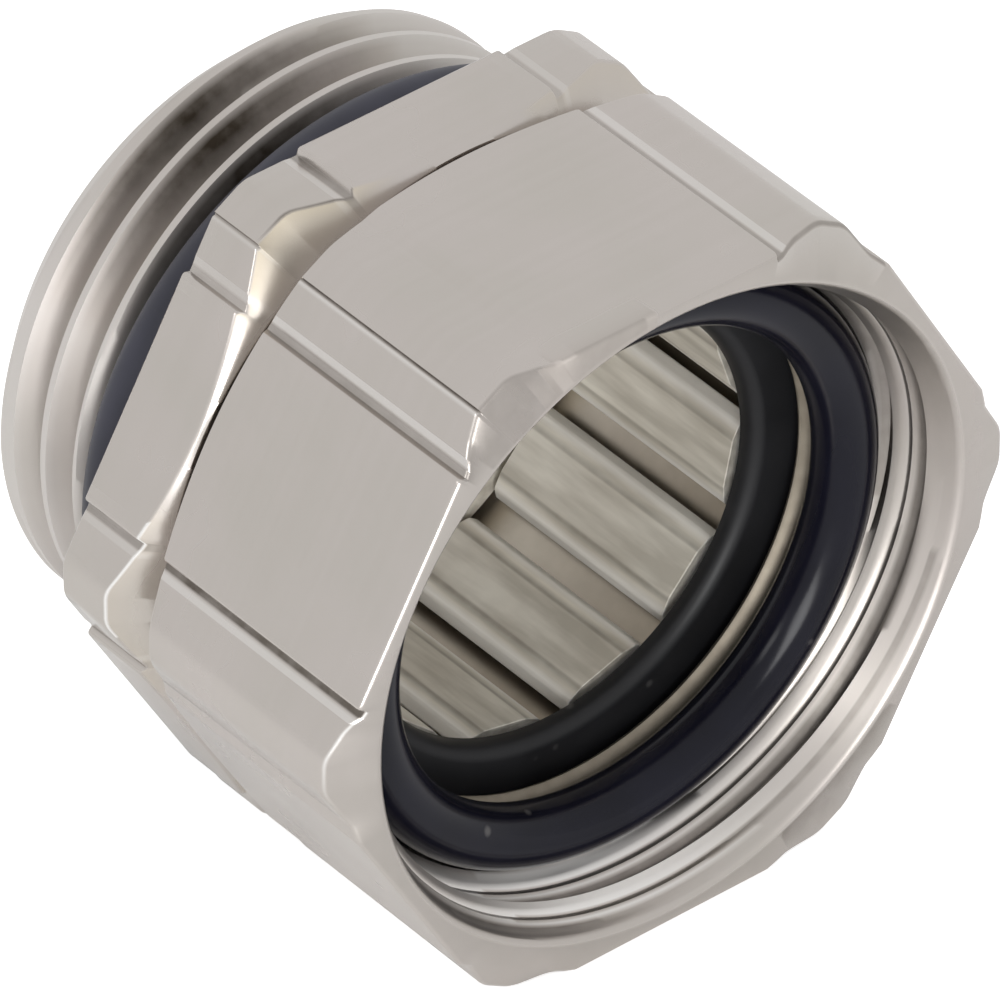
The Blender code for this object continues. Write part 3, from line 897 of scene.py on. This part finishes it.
nut_faces = [nut_outside, nut_thread, mouth_thread, mouth_edge, shoulder, rear_edge]
nut = joined(nut_faces, [nut_rear, nut_front])
mark(nut, "dirt_and_painted_light", nut_dirt_and_painted_light)
mark(nut, "brass", nut_brass)
mark(nut, "dull", nut_dull)
finish_piece(nut, "compression_nut_metal", nickel, "nut", "compression_nut")


# The mouth's O-ring seals what is screwed into the nut. It is a thick ring of clean black rubber with a
# soft highlight and a little dust, pushed in past the thread until it lies on the shoulder.
mouth_ring_radius, mouth_ring_section, mouth_ring_height = 9.0, 2.0, 9.55

ring_rubber = rubber("o_ring_rubber", (0.004, 0.004, 0.008), roughness=0.18, gloss=0.2, dust=0.25)
mouth_ring = o_ring(mouth_ring_radius, mouth_ring_section, mouth_ring_height)
finish_piece(mouth_ring, "mouth_o_ring_rubber", ring_rubber, "nut", "mouth_o_ring")


# The gland lies on a white table under an even white sky, with one soft panel low in front of its mouth
# and a small weak one at its side. The camera stands well back with a long lens, as the photograph's flat
# view asks.
table_size, table_glow, table_mirrored = 3.0, 0.6, 0.1
white, table_white, sky_strength = (1, 1, 1, 1), (0.9, 0.9, 0.9, 1), 0.9
panel_distance, panel_spread = 0.14, 80
camera_azimuth, camera_elevation, camera_distance = 50.7393, 38.1162, 0.4848
camera_lens, camera_sensor, camera_near = 605.59, 36, 0.01
aim = Vector((panel_x + 0.00784, -0.0026, axis_height + 0.00265))

floor_mesh = bpy.data.meshes.new("table")
shape = bmesh.new()
bmesh.ops.create_grid(shape, x_segments=1, y_segments=1, size=table_size)
shape.to_mesh(floor_mesh)
shape.free()
floor = bpy.data.objects.new("table", floor_mesh)
bpy.context.scene.collection.objects.link(floor)
table, tree, shader = new_material("table_white")
shader.inputs["Base Color"].default_value = table_white
shader.inputs["Roughness"].default_value = 0.9
path = add_node(tree, "ShaderNodeLightPath").outputs
mirrored = add_node(
    tree, "ShaderNodeMath", {0: path["Is Glossy Ray"], 1: table_mirrored}, operation="MULTIPLY"
)
glow = add_node(
    tree,
    "ShaderNodeMath",
    {0: path["Is Camera Ray"], 1: table_glow, 2: mirrored.outputs["Value"]},
    operation="MULTIPLY_ADD",
)
shader.inputs["Emission Color"].default_value = white
tree.links.new(glow.outputs["Value"], shader.inputs["Emission Strength"])
floor_mesh.materials.append(table)

world = bpy.context.scene.world or bpy.data.worlds.new("studio")
bpy.context.scene.world = world
world.use_nodes = True
backdrop = world.node_tree.nodes["Background"]
backdrop.inputs["Color"].default_value = white
backdrop.inputs["Strength"].default_value = sky_strength


def soft_panel(name, direction, width, height, power):
    """A bright rectangle that faces the gland from one direction."""
    light = bpy.data.lights.new(name, "AREA")
    light.shape = "RECTANGLE"
    light.size, light.size_y = width, height
    light.energy = power
    light.spread = math.radians(panel_spread)
    lamp = bpy.data.objects.new(name, light)
    bpy.context.scene.collection.objects.link(lamp)
    lamp.location = Vector((0, 0, axis_height)) + Vector(direction).normalized() * panel_distance
    lamp.rotation_euler = (-Vector(direction)).to_track_quat("-Z", "Y").to_euler()


soft_panel("front_panel", (0.86, -0.5, 0.11), width=0.08, height=0.05, power=0.02)
soft_panel("side_panel", (0.28, -0.77, 0.57), width=0.05, height=0.03, power=0.003)

azimuth, elevation = math.radians(camera_azimuth), math.radians(camera_elevation)
back = Vector(
    (math.sin(azimuth) * math.cos(elevation), -math.cos(azimuth) * math.cos(elevation), math.sin(elevation))
)
camera_data = bpy.data.cameras.new("camera")
camera_data.sensor_width = camera_sensor
camera_data.lens = camera_lens
camera_data.clip_start = camera_near
camera = bpy.data.objects.new("camera", camera_data)
bpy.context.scene.collection.objects.link(camera)
camera.location = aim + back * camera_distance
camera.rotation_euler = (-back).to_track_quat("-Z", "Y").to_euler()
bpy.context.scene.camera = camera
bpy.context.scene.view_settings.view_transform = "Standard"
